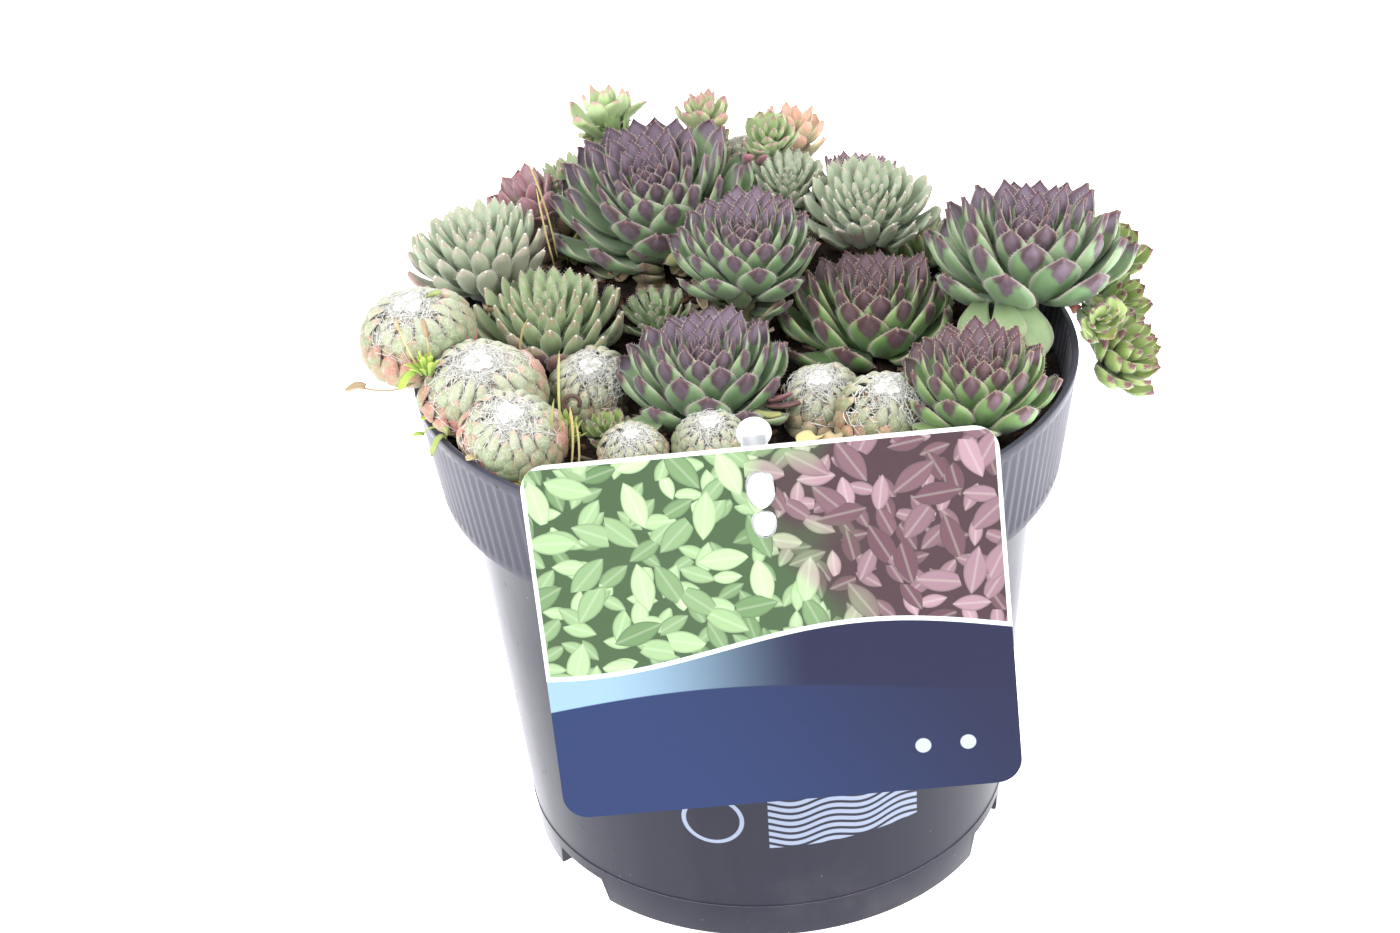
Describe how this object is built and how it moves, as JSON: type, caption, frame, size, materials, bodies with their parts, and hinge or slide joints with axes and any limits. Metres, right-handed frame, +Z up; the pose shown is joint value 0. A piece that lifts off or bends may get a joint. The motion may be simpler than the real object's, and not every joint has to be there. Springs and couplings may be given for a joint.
{
  "type": "potted hens and chicks",
  "caption": "Houseleek rosettes of several kinds crowded in a dark fluted nursery pot, with a plain picture label on a white stake.",
  "frame": {"origin": "middle of the pot's base, on the surface that the pot stands on", "axes": "+Z up along the pot's axis, -Y towards the plant label, +X to the right as seen from the label side"},
  "size_m": [0.1573, 0.1492, 0.1411],
  "materials": {
    "pot_plastic": "dark blue-grey injection-moulded plastic, satin, finely fluted collar",
    "potting_soil": "dark peat with bark chips and grit",
    "purple_leaf": "fleshy blue-green leaf with a dark purple tip, waxy bloom",
    "green_leaf": "fleshy green leaf with a pale tuft at its tip",
    "cobweb_leaf": "pale green leaf under white cobweb wool, salmon tip",
    "pale_leaf": "pale green fleshy leaf with a pink tip",
    "red_leaf": "plum to orange-brown fleshy leaf",
    "label_card": null,
    "stake_plastic": "white moulded plastic",
    "gravel": "small rounded stone"
  },
  "bodies": {
    "root": {"pot": "pot_plastic", "soil": "potting_soil", "purple_back_left": "purple_leaf", "purple_middle": "purple_leaf", "purple_right": "purple_leaf", "purple_far_right": "purple_leaf", "purple_front": "purple_leaf", "purple_front_right": "purple_leaf", "green_left": "green_leaf", "green_front_left": "green_leaf", "green_back_right": "green_leaf", "green_small_middle": "green_leaf", "cobweb_left": "cobweb_leaf", "cobweb_front_left": "cobweb_leaf", "cobweb_front": "cobweb_leaf", "cobweb_inner_left": "cobweb_leaf", "cobweb_by_stake": "cobweb_leaf", "cobweb_small": "cobweb_leaf", "cobweb_right": "cobweb_leaf", "cobweb_front_right": "cobweb_leaf", "chick_green_front": "green_leaf", "chick_pale_top": "pale_leaf", "chick_rosy_top": "pale_leaf", "chick_light_top": "pale_leaf", "chick_orange_top": "red_leaf", "chick_mossy": "green_leaf", "chick_plum": "red_leaf", "rear_green": "green_leaf", "rear_purple": "purple_leaf", "rear_cobweb": "cobweb_leaf", "rear_cobweb_left": "cobweb_leaf", "rear_green_left": "green_leaf", "rear_cobweb_right": "cobweb_leaf", "chicks_over_rim": "pale_leaf", "label": "label_card", "label_stake": "stake_plastic", "pebble_by_stake": "gravel", "pebble_right": "gravel", "pebble_left": "gravel"}
  },
  "joints": []
}
